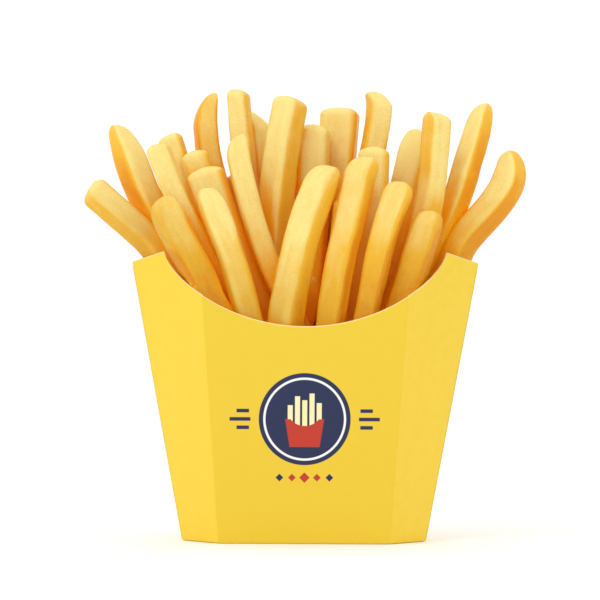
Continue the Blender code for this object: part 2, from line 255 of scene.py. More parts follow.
# The front panel's yellow is the sides' yellow made darker: painted shade.
BOARD_FRONT_SHADED = (0.79, 0.55, 0.030)
BOARD_SIDE = (0.865, 0.60, 0.032)
BOARD_DEEP = (0.77, 0.525, 0.028)
BOARD_INSIDE = (0.90, 0.68, 0.16)
BOARD_INSIDE_DARK = (0.85, 0.61, 0.12)
BOARD_EDGE = (0.92, 0.70, 0.30)
BOARD_EDGE_DARK = (0.84, 0.60, 0.22)
PRINT_NAVY = (0.012, 0.020, 0.075)
PRINT_RED = (0.50, 0.035, 0.015)
PRINT_WHITE = (0.88, 0.88, 0.86)
PRINT_CREAM = (0.92, 0.80, 0.45)
WHITE = (1, 1, 1)

# The skin: how much each value adds to the gold and to the dark of enclosed places, the spans over which
# gold turns to FRY_TOASTED, the end gets its own colour and enclosed places get dark, and how light shines
# through and off it. What the place near the rim, the back rows and enclosed places add to the gold and to
# the dark is painted shade.
STREAKS = 0.8
PATCHES = 0.6
LOW_GOLD, SUNK_GOLD, DEEP_GOLD = 0.4, 0.24, 0.8
DEEP_SPAN = (0.14, 0.8)
TOASTED_SPAN = (1.15, 1.85)
END_SHARE = 0.22
END_SPAN = (0.55, 1.0)
LOW_DARK, SUNK_DARK, DEEP_DARK = 0.2, 0.18, 0.9
DARK_SPAN = (0.27, 0.76)
SPECK_LIGHT = (0.955, 1.035)
SKIN_DEPTH = 3 * MM
SKIN_GLOW = 0.3
SKIN_RADIUS = (1.0, 0.65, 0.2)
SKIN_SHINE = 0.2
SKIN_ROUGHNESS = (0.42, 0.55)

# Its relief: the shares of the streaks, blisters and specks, and the height and strength of the whole.
STREAK_RELIEF, BLISTER_RELIEF, SPECK_RELIEF = 0.6, 0.5, 0.18
SKIN_RELIEF = 0.35 * MM
SKIN_BUMP = 0.55

# Textures as (scale, detail, roughness), for the skin in millimetres and for the board in metres. A
# stretch is the scale along each axis, and NOISE_SPAN is where most of a texture's values lie.
NOISE_SPAN = (0.3, 0.7)
STREAK_STRETCH = (0.12, 0.5, 0.5)
STREAK_TEXTURE = (1.0, 4, 0.55)
PATCH_TEXTURE = (0.17, 3, 0.5)
SPECK_TEXTURE = (1.6, 3, 0.6)
BLISTER_TEXTURE = (0.75, 2, 0.5)
MOTTLE_TEXTURE = (260, 3, 0.55)
PRINT_STRETCH = (1, 1, 0.25)
PRINT_TEXTURE = (1500, 3, 0.6)
BARE_STRETCH = (1, 1, 0.3)
BARE_TEXTURE = (1400, 4, 0.65)

# The board: how much of BOARD_DEEP the mottling adds, where in EDGE_LINE the pale line starts and is full,
# and the relief, roughness and shine.
MOTTLE_SPAN = (0.35, 0.65)
MOTTLE_SHARE = 0.16
EDGE_SPAN = (0.3, 0.6)
PRINT_RELIEF = 0.05 * MM
BARE_RELIEF = 0.06 * MM
BOARD_BUMP = 0.5
PRINT_ROUGHNESS = (0.40, 0.5)
BARE_ROUGHNESS = (0.6, 0.75)
PRINT_SHINE = 0.35

# The badge, in millimetres from its middle, which is at BADGE_Z: rings as (distance inwards, colour),
# sticks as (place, top), the small carton below them, bars at both sides as (height, inner end, outer
# end), and diamonds as (place, half size, colour).
BADGE_Z = 45.0
BADGE_RADIUS = 16.5
BADGE_RINGS = ((0, PRINT_NAVY), (1.6, PRINT_WHITE), (2.4, PRINT_NAVY))
STICKS = ((-5.2, 5.0), (-2.6, 8.2), (0.0, 6.8), (2.6, 9.2), (5.2, 5.8))
STICK_HALF = 0.9
STICK_FOOT = -4.0
CUP_HALF = 7.0
CUP_WIDENING = 0.16
CUP_HALF_HEIGHT = 5.0
CUP_SCOOP_Z = 4.2
CUP_SCOOP_RADIUS = 6.6
BARS = ((0, 19.5, 27.0), (3.0, 20.0, 24.5), (-3.0, 20.0, 24.5))
BAR_HALF = 0.65
DIAMONDS_Z = -BADGE_RADIUS - 4.5
DIAMONDS = (
    (-9, 1.4, PRINT_NAVY),
    (-4.5, 1.4, PRINT_RED),
    (0, 1.9, PRINT_RED),
    (4.5, 1.4, PRINT_RED),
    (9, 1.4, PRINT_NAVY),
)
PRINT_SOFTNESS = 0.12

# The studio, in metres and watts.
WORLD_STRENGTH = 1.04
KEY_POWER = 2.9
KEY_SIZE = 0.5
KEY_PLACE = (-0.55, -0.8, 1.0)
KEY_TARGET = (0, 0, 0.1)
KEY_COLOUR = (1, 0.99, 0.97)
FLOOR_HALF = 8.0
FLOOR_DROP = 0.02 * MM
FLOOR_ROUGHNESS = 0.9
FLOOR_SHINE = 0.1
LIGHT_BOUNCES = 12


def half_panel(z):
    return (BASE_PANEL + (TOP_PANEL - BASE_PANEL) * z / TOP_Z) / 2


def half_width(z):
    return (BASE_WIDTH + (TOP_WIDTH - BASE_WIDTH) * z / TOP_Z) / 2


def half_depth(z):
    return (BASE_DEPTH + (TOP_DEPTH - BASE_DEPTH) * z / TOP_Z) / 2


CREASE_X = half_width(CREASE_Z)
SLANT = (BASE_WIDTH - BASE_PANEL) / BASE_DEPTH


def front_rim(x):
    """Height of the front's edge at x."""
    across = abs(x) / SCOOP_HALF
    if across < 1:
        return SHOULDER_Z - (SHOULDER_Z - SCOOP_Z) * (1 - across**2) ** SCOOP_POWER
    along = (abs(x) - SCOOP_HALF) / (CREASE_X - SCOOP_HALF)
    return SHOULDER_Z + (CREASE_Z - SHOULDER_Z) * min(along, 1)


def back_rim(x):
    """Height of the back's edge at x."""
    across = min(abs(x) / CREASE_X, 1)
    return CREASE_Z + (ARCH_Z - CREASE_Z) * (1 - across**2)


def hold_inside(point, radius, lean):
    """A point of the centre line, moved inwards until the fry clears the board."""
    x, y, z = point
    clear = (radius * (1 + lean) / 2 + BOARD + GAP) * math.hypot(1, SLANT)
    too_wide = abs(x) + SLANT * abs(y) - half_width(z) + clear
    if too_wide > 0:
        step_y = min(abs(y), too_wide * SLANT / (1 + SLANT**2))
        x -= math.copysign(too_wide - SLANT * step_y, x)
        y -= math.copysign(step_y, y)
    too_deep = abs(y) - half_depth(z) + radius + BOARD + GAP
    if too_deep > 0:
        y -= math.copysign(too_deep, y)
    return Vector((x, y, z))


def centre_line(fry):
    """A function of t for the fry's centre line, from the mouth at 0 to the tip at 1, and its length.

    Below the board's edge it is held clear of the board, and above it that shift fades away. The line is
    averaged over a short stretch, so that it has no kink there.
    """
    mouth = Vector((fry.mouth[0] * MM, fry.mouth[1] * MM, MOUTH_Z))
    tip = Vector(fry.tip) * MM
    chord = tip - mouth
    right = Vector((chord.z, 0, -chord.x)).normalized()
    bend = mouth + fry.knee * chord + 2 * fry.bow * MM * right
    radius = max(fry.size) * MM / 2 * HOLD_ROOM
    lean = chord.length / chord.z
    foot = mouth - (bend - mouth).normalized() * FOOT_DROP

    def free(t):
        if t < 0:
            return mouth + (mouth - foot) * t
        return (1 - t) ** 2 * mouth + 2 * t * (1 - t) * bend + t**2 * tip

    rim = front_rim if fry.mouth[1] < 0 else back_rim
    steps = [i / LEAVE_STEPS for i in range(LEAVE_STEPS)]
    leave = next(t for t in steps + [1] if t == 1 or free(t).z > rim(free(t).x) + HOLD_ABOVE)
    shift = hold_inside(free(leave), radius, lean) - free(leave)

    def held(t):
        point = free(t)
        if t < leave:
            return hold_inside(point, radius, lean)
        share = min(1, (point.z - free(leave).z) / HOLD_FADE)
        return point + shift * (1 - share**2 * (3 - 2 * share))

    def at(t):
        return sum((held(t + step) for step in SMOOTHING), Vector()) / len(SMOOTHING)

    return at, chord.length


def filling():
    """Fries on a grid over the mouth, wherever no listed one stands. They fan out and stay lower."""
    rng = random.Random(FILL_SEED)
    taken = [Vector(fry.mouth) for fry in SHOWN]
    fries = []
    for row in range(-FILL_ROWS, FILL_ROWS + 1):
        y = row * FILL_STEP_Y
        reach = min(FILL_REACH, half_width(MOUTH_Z) / MM - SLANT * abs(y) - FILL_WALL)
        count = int(reach // (FILL_STEP_X / 2))
        for i in range(-count, count + 1, 2):
            x = i * FILL_STEP_X / 2
            spot = Vector((x + rng.uniform(*FILL_SHIFT), y + rng.uniform(*FILL_SHIFT)))
            top = rng.uniform(*(FILL_FRONT_TOP if spot.y < 0 else FILL_BACK_TOP))
            size, roll = rng.uniform(*FILL_SIZE), rng.uniform(*FILL_ROLL)
            drift, bow = rng.uniform(*FILL_DRIFT), rng.uniform(*FILL_BOW)
            end = (rng.uniform(*FILL_END), rng.uniform(*FILL_END_SIDE), FILL_END_SHAPE)
            if any((spot - other).length < FILL_CLEAR for other in taken):
                continue
            taken.append(spot)
            tip = (spot.x * FILL_FAN_X + drift, spot.y * FILL_FAN_Y, top - FILL_SIDE_DROP * abs(spot.x))
            fries.append(Fry(tuple(spot), tip, bow, (size, size), roll, end))
    return fries


def smooth_step(low, high, value):
    share = np.clip((value - low) / (high - low), 0, 1)
    return share * share * (3 - 2 * share)


class Heap:
    """Vertices, faces and per-vertex values of many bodies that become one mesh."""

    def __init__(self):
        self.points, self.faces, self.values = [], [], {}

    def add(self, points, faces, **values):
        start = sum(len(block) for block in self.points)
        self.points.append(points)
        self.faces.extend([tuple(start + i for i in face) for face in faces])
        for name, value in values.items():
            self.values.setdefault(name, []).append(value)

    def build(self, name):
        mesh = bpy.data.meshes.new(name)
        mesh.from_pydata(np.concatenate(self.points).tolist(), [], self.faces)
        for key, blocks in self.values.items():
            data = np.concatenate(blocks)
            kind, field = ("FLOAT", "value") if data.ndim == 1 else ("FLOAT_VECTOR", "vector")
            attribute = mesh.attributes.new(key, kind, "POINT")
            attribute.data.foreach_set(field, data.astype(np.float32).ravel())
        mesh.shade_smooth()
        obj = bpy.data.objects.new(name, mesh)
        bpy.context.scene.collection.objects.link(obj)
        return obj


def fry_levels(end_length, length):
    """Where a fry has its rings, as t along the fry and q along its tapered end."""
    start = 1 - end_length * MM / length
    levels = [(-1 + i / FOOT_RINGS, 0.0) for i in range(FOOT_RINGS)]
    count = max(FEWEST_RINGS, int(length * start / RING_STEP))
    levels += [(start * i / count, 0.0) for i in range(count + 1)]
    for i in range(1, END_STEPS):
        q = math.sin(math.pi / 2 * i / END_STEPS)
        levels.append((start + (1 - start) * q, q))
    return levels


def cross_section(power, hollow):
    """Points and normals round a fry of half size 1: a rounded square with slightly hollow faces."""
    angles = np.arange(SIDES) * 2 * math.pi / SIDES + math.pi / SIDES
    cos, sin = np.cos(angles), np.sin(angles)
    reach = (np.abs(cos) ** power + np.abs(sin) ** power) ** (-1 / power)
    reach = reach * (1 - hollow * np.cos(4 * angles))
    normal_u = np.sign(cos) * np.abs(cos) ** (power - 1)
    normal_v = np.sign(sin) * np.abs(sin) ** (power - 1)
    size = np.hypot(normal_u, normal_v)
    return cos * reach, sin * reach, normal_u / size, normal_v / size


def side_gold_and_shade(golden_shaded_side, t, q, sideways):
    """How golden the faces of a ring are, from how far each looks to the right, as browning and painted
    shade.
    """
    low_side, top_side = golden_shaded_side
    turned = low_side + (top_side - low_side) * smooth_step(*TURN_SPAN, t)
    shaded_side_gold = GOLD_CONTRAST * abs(turned) * smooth_step(*GOLD_SPAN, np.sign(turned) * sideways)
    flank_shade = SIDE_GOLD * smooth_step(*SIDE_SPAN, np.abs(sideways))
    return np.maximum(shaded_side_gold, flank_shade) * (1 - PALE_END * q)


def fry_faces(ring_count):
    """Quads between the rings, triangles to the point of the tip, and the closed foot."""
    faces = []
    for low in range(0, (ring_count - 1) * SIDES, SIDES):
        high = low + SIDES
        for i in range(SIDES):
            j = (i + 1) % SIDES
            faces.append((low + i, low + j, high + j, high + i))
    last = (ring_count - 1) * SIDES
    faces.extend((last + i, last + (i + 1) % SIDES, last + SIDES) for i in range(SIDES))
    faces.append(tuple(range(SIDES))[::-1])
    return faces


def bump_height(point, shift):
    """How far a point of the skin stands out, in millimetres."""
    (broad, broad_height), (small, small_height) = BUMPS
    height = broad_height * noise.noise(Vector(point) / MM / broad + Vector((shift, 0, 0)))
    return height + small_height * noise.noise(Vector(point) / MM / small + Vector((0, shift, 0)))


def fry_surface(fry, tone, golden_shaded_side, rng):
    """Points, faces and values of one fry in full detail."""
    at, length = centre_line(fry)
    end_length, side, power = fry.end
    square = rng.uniform(*SQUARE_POWER)
    hollow = rng.uniform(*HOLLOW)
    twist = math.radians(rng.uniform(*TWIST))
    shift = rng.uniform(*NOISE_SHIFT)
    wide = rng.uniform(*WAVINESS)
    half_u, half_v = fry.size[0] * MM / 2, fry.size[1] * MM / 2
    u, v, normal_u, normal_v = cross_section(square, hollow)
    behind = smooth_step(*SUNK_ROWS, fry.mouth[1])
    rings, golds, tips, grains, back_row_shades = [], [], [], [], []
    travelled, before = 0.0, None
    for t, q in fry_levels(end_length, length):
        middle = at(t)
        along = (at(t + TANGENT_STEP) - at(t - TANGENT_STEP)).normalized()
        if before is not None:
            travelled += (middle - before).length
        before = middle
        right = Vector((0, 1, 0)).cross(along).normalized()
        away = along.cross(right)
        roll = math.radians(fry.roll) + twist * (t - 0.5)
        across = right * math.cos(roll) - away * math.sin(roll)
        through = away * math.cos(roll) + right * math.sin(roll)
        taper = BLUNT + (1 - BLUNT) * (1 - q**power) ** (1 / power)
        scale = taper * math.sqrt(1 - q ** max(TIP_ROUND_LEAST, TIP_ROUND * end_length))
        reach = half_u * abs(math.cos(roll)) + half_v * abs(math.sin(roll))
        wave = travelled / MM / WAVE_LENGTH + shift
        middle = middle + right * noise.noise((wave, 0, 3)) * SWAY * MM * (1 - q)
        middle = middle + right * side * (1 - taper) * reach
        grow = 1 + fry.swell * (max(t, 0) - 0.5)
        grow_u = grow + 2 * wide * noise.noise((wave * SIZE_WAVES, 5, 0))
        grow_v = grow + 2 * wide * noise.noise((wave * SIZE_WAVES, 9, 0))
        across, through = np.array(across), np.array(through)
        offset = np.outer(u * half_u * grow_u * scale, across)
        offset += np.outer(v * half_v * grow_v * scale, through)
        rings.append(np.array(middle) + offset)
        sideways = (np.outer(normal_u, across) + np.outer(normal_v, through)) @ np.array(right)
        # Painted shade: the fry's tone counts more towards its foot.
        plain = TONE_LOW - TONE_FADE * smooth_step(*TONE_SPAN, t)
        # Its golden side is painted shade on the side away from the light, as well as browning.
        golds.append(tone * plain + side_gold_and_shade(golden_shaded_side, t, q, sideways))
        tips.append(np.full(SIDES, q))
        # Painted shade low in the back rows, from the rows in front.
        back_row_shades.append(np.full(SIDES, behind * (1 - smooth_step(*SUNK_SPAN, t))))
        skin = [np.full(SIDES, travelled / MM), u * half_u / MM + shift, v * half_v / MM]
        grains.append(np.stack(skin, axis=1))
    points = np.concatenate(rings)
    out = points - np.repeat([ring.mean(axis=0) for ring in rings], SIDES, axis=0)
    out /= np.maximum(np.linalg.norm(out, axis=1, keepdims=True), 1e-9)
    bumps = np.array([bump_height(point, shift) for point in points])
    points += out * (bumps * MM)[:, None]
    points = np.vstack([points, np.array(at(1.0) + right * side * reach * (1 - BLUNT))])
    edges = np.array([front_rim(x) if y < 0 else back_rim(x) for x, y, _ in points])
    values = {
        "gold": np.append(np.concatenate(golds), golds[-1][-1]),
        "tip": np.append(np.concatenate(tips), 1.0),
        "grain": np.vstack([np.concatenate(grains), grains[-1][-1]]),
        # Painted shade near the carton's rim.
        "low": 1 - smooth_step(0, LOW_REACH, points[:, 2] - edges),
        # Painted shade low in the back rows.
        "sunk": np.append(np.concatenate(back_row_shades), 0.0),
    }
    return points, fry_faces(len(rings)), values


def occlusion(points, normals, tree, rng):
    """Share of the sky that the surroundings hide from each point, near ones counting most, to paint as
    shade.
    """
    directions = []
    while len(directions) < RAYS:
        direction = Vector((rng.uniform(-1, 1), rng.uniform(-1, 1), rng.uniform(RAY_LOWEST, 1)))
        if direction.length < 1:
            directions.append(direction.normalized())
    hidden = np.zeros(len(points))
    for i, (point, normal) in enumerate(zip(points, normals)):
        point, normal = Vector(point), Vector(normal)
        turn = normal.to_track_quat("Z", "Y")
        start = point + normal * RAY_START * MM
        total = 0.0
        for direction in directions:
            distance = tree.ray_cast(start, turn @ direction, RAY_REACH)[3]
            if distance is not None:
                total += direction.z * (1 - distance / RAY_REACH)
        hidden[i] = total
    return hidden / sum(direction.z for direction in directions)


def fry_heap():
    """Every fry as one mesh."""
    rng = random.Random(LOOK_SEED)
    heap = Heap()
    listed = [(fry, *look) for fry, look in zip(SHOWN, LOOKS)]
    listed += [(fry, rng.uniform(*FILL_TONE), rng.choice((LEFT, RIGHT))) for fry in filling()]
    for fry, tone, golden_shaded_side in listed:
        points, faces, values = fry_surface(fry, tone, golden_shaded_side, rng)
        heap.add(points, faces, **values)
    return heap.build("fries_standing")


def core_piece():
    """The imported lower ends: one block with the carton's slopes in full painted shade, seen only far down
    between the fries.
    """
    gap = BOARD + GAP
    slant_gap = gap * math.hypot(1, SLANT)
    outline = ((-1, -1), (1, -1), (1, 0), (1, 1), (-1, 1), (-1, 0))
    rise = half_depth(1) - half_depth(0)
    points = []
    for level in (0, 1):
        for x_side, y_side in outline:
            z = FLOOR_Z
            if level:
                start = CORE_SIDE_Z + CORE_SLOPE * y_side * (half_depth(0) - gap)
                z = start / (1 - CORE_SLOPE * y_side * rise)
            y = y_side * (half_depth(z) - gap)
            points.append((x_side * (half_width(z) - slant_gap - SLANT * abs(y)), y, z))
    sides = len(outline)
    faces = [(i, (i + 1) % sides, sides + (i + 1) % sides, sides + i) for i in range(sides)]
    faces += [tuple(range(sides))[::-1], tuple(range(sides, 2 * sides))]
    heap = Heap()
    points, full = np.array(points), np.ones(len(points))
    # It takes the full painted shade of the rim and of the back rows.
    heap.add(points, faces, gold=full, tip=full * 0, grain=points / MM, low=full, sunk=full)
    piece = heap.build("fries_core")
    piece.data.shade_flat()
    return piece


def rounded_corner_drop(x):
    """How far the edge is cut down near the side crease, where the board's corner is rounded."""
    past = (abs(x) - (CREASE_X - CORNER_ROUND)) / CORNER_ROUND
    if past <= 0:
        return 0.0
    return CORNER_ROUND * (1 - math.sqrt(max(0, 1 - min(past, 1) ** 2)))


def fold_at(rim):
    """x at which this edge crosses the fold beside the middle panel."""
    low, high = 0.0, CREASE_X
    for _ in range(HALVINGS):
        middle = (low + high) / 2
        if middle < half_panel(rim(middle)):
            low = middle
        else:
            high = middle
    return low


def spread(start, stop, count):
    return [start + (stop - start) * i / count for i in range(count)]


def near_fold(fold):
    """Places close to a fold, on both sides of it."""
    return [fold + FOLD_STEP * share for share in FOLD_COLUMNS]


def both_ways(places, exact=()):
    """The places on both sides of the middle, in order.

    All but the exact ones are rounded, so that none is there twice.
    """
    positive = sorted({round(place, 7) for place in places} | set(exact))
    return [-place for place in reversed(positive) if place > 0] + positive


def wall_point(x, z, z_top, side):
    """A point of the board's outer face at height z, in the column that reaches the edge at x and z_top."""
    panel, width = half_panel(z_top), half_width(z_top)
    share = max(0, (abs(x) - panel) / (width - panel))
    if share == 0:
        flat_x = x / panel * half_panel(z)
    else:
        flat_x = math.copysign(half_panel(z) + share * (half_width(z) - half_panel(z)), x)
    point = Vector((flat_x, side * half_depth(z) * (1 - share)))
    corners = [Vector((math.copysign(half_panel(z), x), side * half_depth(z)))]
    corners.append(Vector((math.copysign(half_width(z), x), 0)))
    beside = [(Vector((0, side * half_depth(z))), corners[1])]
    beside.append((corners[0], Vector((corners[0].x, -corners[0].y))))
    for corner, (one, other) in zip(corners, beside):
        to_one, to_other = (one - corner).normalized(), (other - corner).normalized()
        half_angle = to_one.angle(to_other) / 2
        reach = FOLD_RADIUS / math.tan(half_angle)
        if (point - corner).length < reach:
            centre = corner + (to_one + to_other).normalized() * FOLD_RADIUS / math.sin(half_angle)
            point = centre + (point - centre).normalized() * FOLD_RADIUS
    if side > 0 and share == 0 and x > SEAM_X:
        past = min(1, (x - SEAM_X) / SEAM_WIDTH)
        before_fold = min(1, max(0, (panel - x) / SEAM_END))
        point.y -= SEAM_STEP * past * before_fold
    return Vector((point.x, point.y, z))


def carton_columns():
    """Where the board's columns reach its edge, all the way round, as x and -1 for the front or 1."""
    front, back = fold_at(front_rim), fold_at(back_rim)
    corner = [CREASE_X - CORNER_ROUND * (1 - share) for share in CORNER_COLUMNS]
    inner, middle, outer = FRONT_COLUMNS
    front_x = spread(0, front, inner) + near_fold(front) + spread(front, SCOOP_HALF, middle)
    front_x += spread(SCOOP_HALF, CREASE_X, outer) + corner
    inner, outer = BACK_COLUMNS
    back_x = spread(0, back, inner) + near_fold(back) + spread(back, CREASE_X, outer) + corner
    seam = (SEAM_X, SEAM_X + SEAM_WIDTH)
    columns = [(-CREASE_X, -1)] + [(x, -1) for x in both_ways(front_x)]
    return columns + [(CREASE_X, -1)] + [(x, 1) for x in reversed(both_ways(back_x, seam))]


def carton_piece():
    """The folded board: a fine grid over each panel with rounded folds, thickened inwards."""
    columns = carton_columns()
    points, front_share, edge_share = [], [], []
    for x, side in columns:
        rim = front_rim if side < 0 else back_rim
        top = rim(x) - rounded_corner_drop(x)
        wall = top - EDGE_LINE - FOOT_ROUND
        rows = [FOOT_ROUND * share for share in FOOT_ROWS]
        rows += [FOOT_ROUND + wall * i / BOARD_ROWS for i in range(BOARD_ROWS + 1)]
        rows.append(top)
        for z in rows:
            point = wall_point(x, z, top, side)
            if z < FOOT_ROUND:
                share = 1 - z / FOOT_ROUND
                shrink = 1 - FOOT_ROUND * (1 - math.sqrt(1 - share**2)) / half_depth(0)
                point.x *= shrink
                point.y *= shrink
            points.append(tuple(point))
            # The front panel carries the badge, and a painted shade that makes it darker than the rest.
            front_share.append(1.0 if abs(x) <= half_panel(top) and side < 0 else 0.0)
            edge_share.append(1.0 if z == top else 0.0)
    height = len(FOOT_ROWS) + BOARD_ROWS + 2
    count = len(columns)
    faces = []
    for c in range(count):
        a, b = c * height, (c + 1) % count * height
        for r in range(height - 1):
            faces.append((a + r, b + r, b + r + 1, a + r + 1))
    faces.append(tuple(c * height for c in reversed(range(count))))
    heap = Heap()
    heap.add(np.array(points), faces, front=np.array(front_share), edge=np.array(edge_share))
    piece = heap.build("carton_board_folded")
    for polygon in piece.data.polygons:
        if len(polygon.vertices) > 4:
            polygon.use_smooth = False
    board = piece.modifiers.new("board", "SOLIDIFY")
    board.thickness = BOARD
    board.offset = -1
    board.material_offset = 1
    board.material_offset_rim = 2
    return piece


class Nodes:
    """Short names for a material's nodes. A method that adds one returns its output."""

    def __init__(self, name):
        self.material = bpy.data.materials.new(name)
        self.material.use_nodes = True
        self.tree = self.material.node_tree
        self.shader = self.tree.nodes["Principled BSDF"]

    def link(self, value, socket):
        """Links an output to the socket, or sets it to a number or colour."""
        if isinstance(value, bpy.types.NodeSocket):
            self.tree.links.new(value, socket)
        elif isinstance(value, tuple) and socket.type == "RGBA":
            socket.default_value = (*value[:3], 1)
        else:
            socket.default_value = value

    def math(self, operation, a, b=0.0):
        node = self.tree.nodes.new("ShaderNodeMath")
        node.operation = operation
        self.link(a, node.inputs[0])
        self.link(b, node.inputs[1])
        return node.outputs[0]

    def times(self, value, factor):
        return self.math("MULTIPLY", value, factor)

    def attribute(self, name, output):
        node = self.tree.nodes.new("ShaderNodeAttribute")
        node.attribute_name = name
        return node.outputs[output]

    def object_xyz(self):
        """The place on the object as a vector, and its x, y and z."""
        place = self.tree.nodes.new("ShaderNodeTexCoord").outputs["Object"]
        node = self.tree.nodes.new("ShaderNodeSeparateXYZ")
        self.link(place, node.inputs[0])
        return place, node.outputs[0], node.outputs[1], node.outputs[2]

    def stretch(self, vector, scale):
        node = self.tree.nodes.new("ShaderNodeMapping")
        self.link(vector, node.inputs["Vector"])
        node.inputs["Scale"].default_value = scale
        return node.outputs[0]

    def noise(self, vector, scale, detail, roughness):
        node = self.tree.nodes.new("ShaderNodeTexNoise")
        self.link(vector, node.inputs["Vector"])
        node.inputs["Scale"].default_value = scale
        node.inputs["Detail"].default_value = detail
        node.inputs["Roughness"].default_value = roughness
        return node.outputs["Fac"]

    def ramp(self, value, low, high, to_low=0.0, to_high=1.0):
        node = self.tree.nodes.new("ShaderNodeMapRange")
        node.interpolation_type = "SMOOTHSTEP"
        self.link(value, node.inputs["Value"])
        for name, number in (("From Min", low), ("From Max", high), ("To Min", to_low), ("To Max", to_high)):
            node.inputs[name].default_value = number
        return node.outputs["Result"]

    def mix(self, share, a, b, kind="MIX"):
        node = self.tree.nodes.new("ShaderNodeMix")
        node.data_type = "RGBA"
        node.blend_type = kind
        self.link(share, node.inputs["Factor"])
        colours = [socket for socket in node.inputs if socket.type == "RGBA"]
        self.link(a, colours[0])
        self.link(b, colours[1])
        return next(socket for socket in node.outputs if socket.type == "RGBA")

    def bump(self, height, distance, strength):
        """Gives the material this relief."""
        node = self.tree.nodes.new("ShaderNodeBump")
        self.link(height, node.inputs["Height"])
        node.inputs["Distance"].default_value = distance
        node.inputs["Strength"].default_value = strength
        self.link(node.outputs[0], self.shader.inputs["Normal"])

    def set(self, **values):
        """Links or sets inputs of the shader and returns the material."""
        for name, value in values.items():
            self.link(value, self.shader.inputs[name.replace("_", " ")])
        return self.material


def fried_potato():
    """Pale to golden fried potato: soft long streaks, small blisters, and painted shade between fries and
    low down.
    """
    nodes = Nodes("fried_potato_skin")
    gold = nodes.attribute("gold", "Fac")
    painted_occlusion = nodes.attribute("painted_occlusion", "Fac")
    tip = nodes.attribute("tip", "Fac")
    low = nodes.attribute("low", "Fac")
    sunk = nodes.attribute("sunk", "Fac")
    grain = nodes.attribute("grain", "Vector")
    streaks = nodes.noise(nodes.stretch(grain, STREAK_STRETCH), *STREAK_TEXTURE)
    patches = nodes.noise(grain, *PATCH_TEXTURE)
    specks = nodes.noise(grain, *SPECK_TEXTURE)
    streak = nodes.times(nodes.math("SUBTRACT", streaks, 0.5), STREAKS)
    patch = nodes.times(nodes.math("SUBTRACT", patches, 0.5), PATCHES)
    # Painted shade, as gold added near the rim, in enclosed places and low in the back rows.
    enclosed = nodes.math("ADD", nodes.times(low, LOW_GOLD), nodes.ramp(painted_occlusion, *DEEP_SPAN, 0, DEEP_GOLD))
    enclosed = nodes.math("ADD", enclosed, nodes.times(sunk, SUNK_GOLD))
    share = nodes.math("ADD", gold, nodes.math("ADD", enclosed, nodes.math("ADD", streak, patch)))
    colour = nodes.mix(share, FRY_PALE, FRY_GOLD)
    colour = nodes.mix(nodes.ramp(share, *TOASTED_SPAN), colour, FRY_TOASTED)
    colour = nodes.mix(nodes.times(nodes.ramp(tip, *END_SPAN), END_SHARE), colour, FRY_END)
    # Painted shade near the rim.
    colour = nodes.mix(1.0, colour, nodes.mix(low, WHITE, LOW_SHADE), "MULTIPLY")
    # Painted shade: the shade colour where enclosed, near the rim and low in the back rows.
    shade = nodes.math("ADD", nodes.times(painted_occlusion, DEEP_DARK), nodes.times(low, LOW_DARK))
    shade = nodes.math("ADD", shade, nodes.times(sunk, SUNK_DARK))
    colour = nodes.mix(nodes.ramp(shade, *DARK_SPAN), colour, FRY_PAINTED_SHADE)
    speck = nodes.ramp(specks, *NOISE_SPAN, *SPECK_LIGHT)
    grey = nodes.tree.nodes.new("ShaderNodeCombineColor")
    for socket in grey.inputs:
        nodes.link(speck, socket)
    colour = nodes.mix(1.0, colour, grey.outputs[0], "MULTIPLY")
    blisters = nodes.noise(grain, *BLISTER_TEXTURE)
    height = nodes.math("ADD", nodes.times(streaks, STREAK_RELIEF), nodes.times(blisters, BLISTER_RELIEF))
    height = nodes.math("ADD", height, nodes.times(specks, SPECK_RELIEF))
    nodes.bump(height, SKIN_RELIEF, SKIN_BUMP)
    roughness = nodes.ramp(patches, *NOISE_SPAN, *SKIN_ROUGHNESS)
    nodes.set(Subsurface_Weight=SKIN_GLOW, Subsurface_Scale=SKIN_DEPTH, Subsurface_Radius=SKIN_RADIUS)
    return nodes.set(Base_Color=colour, Roughness=roughness, Specular_IOR_Level=SKIN_SHINE)


def inside(nodes, distance):
    """1 where the distance in millimetres is below zero, with a soft printed edge."""
    return nodes.ramp(distance, -PRINT_SOFTNESS, PRINT_SOFTNESS, 1.0, 0.0)


def shape_box(nodes, x, z, centre, half, turned=False):
    """Distance to a box of half size half round centre, or to a diamond if turned."""
    dx = nodes.math("ABSOLUTE", nodes.math("SUBTRACT", x, centre[0]))
    dz = nodes.math("ABSOLUTE", nodes.math("SUBTRACT", z, centre[1]))
    if turned:
        return nodes.math("SUBTRACT", nodes.math("ADD", dx, dz), half[0])
    dx = nodes.math("SUBTRACT", dx, half[0])
    dz = nodes.math("SUBTRACT", dz, half[1])
    return nodes.math("MAXIMUM", dx, dz)


def from_centre(nodes, x, z):
    squares = nodes.math("ADD", nodes.math("MULTIPLY", x, x), nodes.math("MULTIPLY", z, z))
    return nodes.math("SQRT", squares)


def printed_cup(nodes, x, z):
    """Distance to the badge's small carton, which widens upwards and has a scooped top."""
    widening = nodes.times(z, CUP_WIDENING)
    sides = nodes.math("SUBTRACT", nodes.math("SUBTRACT", nodes.math("ABSOLUTE", x), CUP_HALF), widening)
    from_middle = nodes.math("ABSOLUTE", nodes.math("ADD", z, CUP_HALF_HEIGHT))
    cup = nodes.math("MAXIMUM", sides, nodes.math("SUBTRACT", from_middle, CUP_HALF_HEIGHT))
    scoop = from_centre(nodes, x, nodes.math("SUBTRACT", z, CUP_SCOOP_Z))
    return nodes.math("MAXIMUM", cup, nodes.math("SUBTRACT", CUP_SCOOP_RADIUS, scoop))


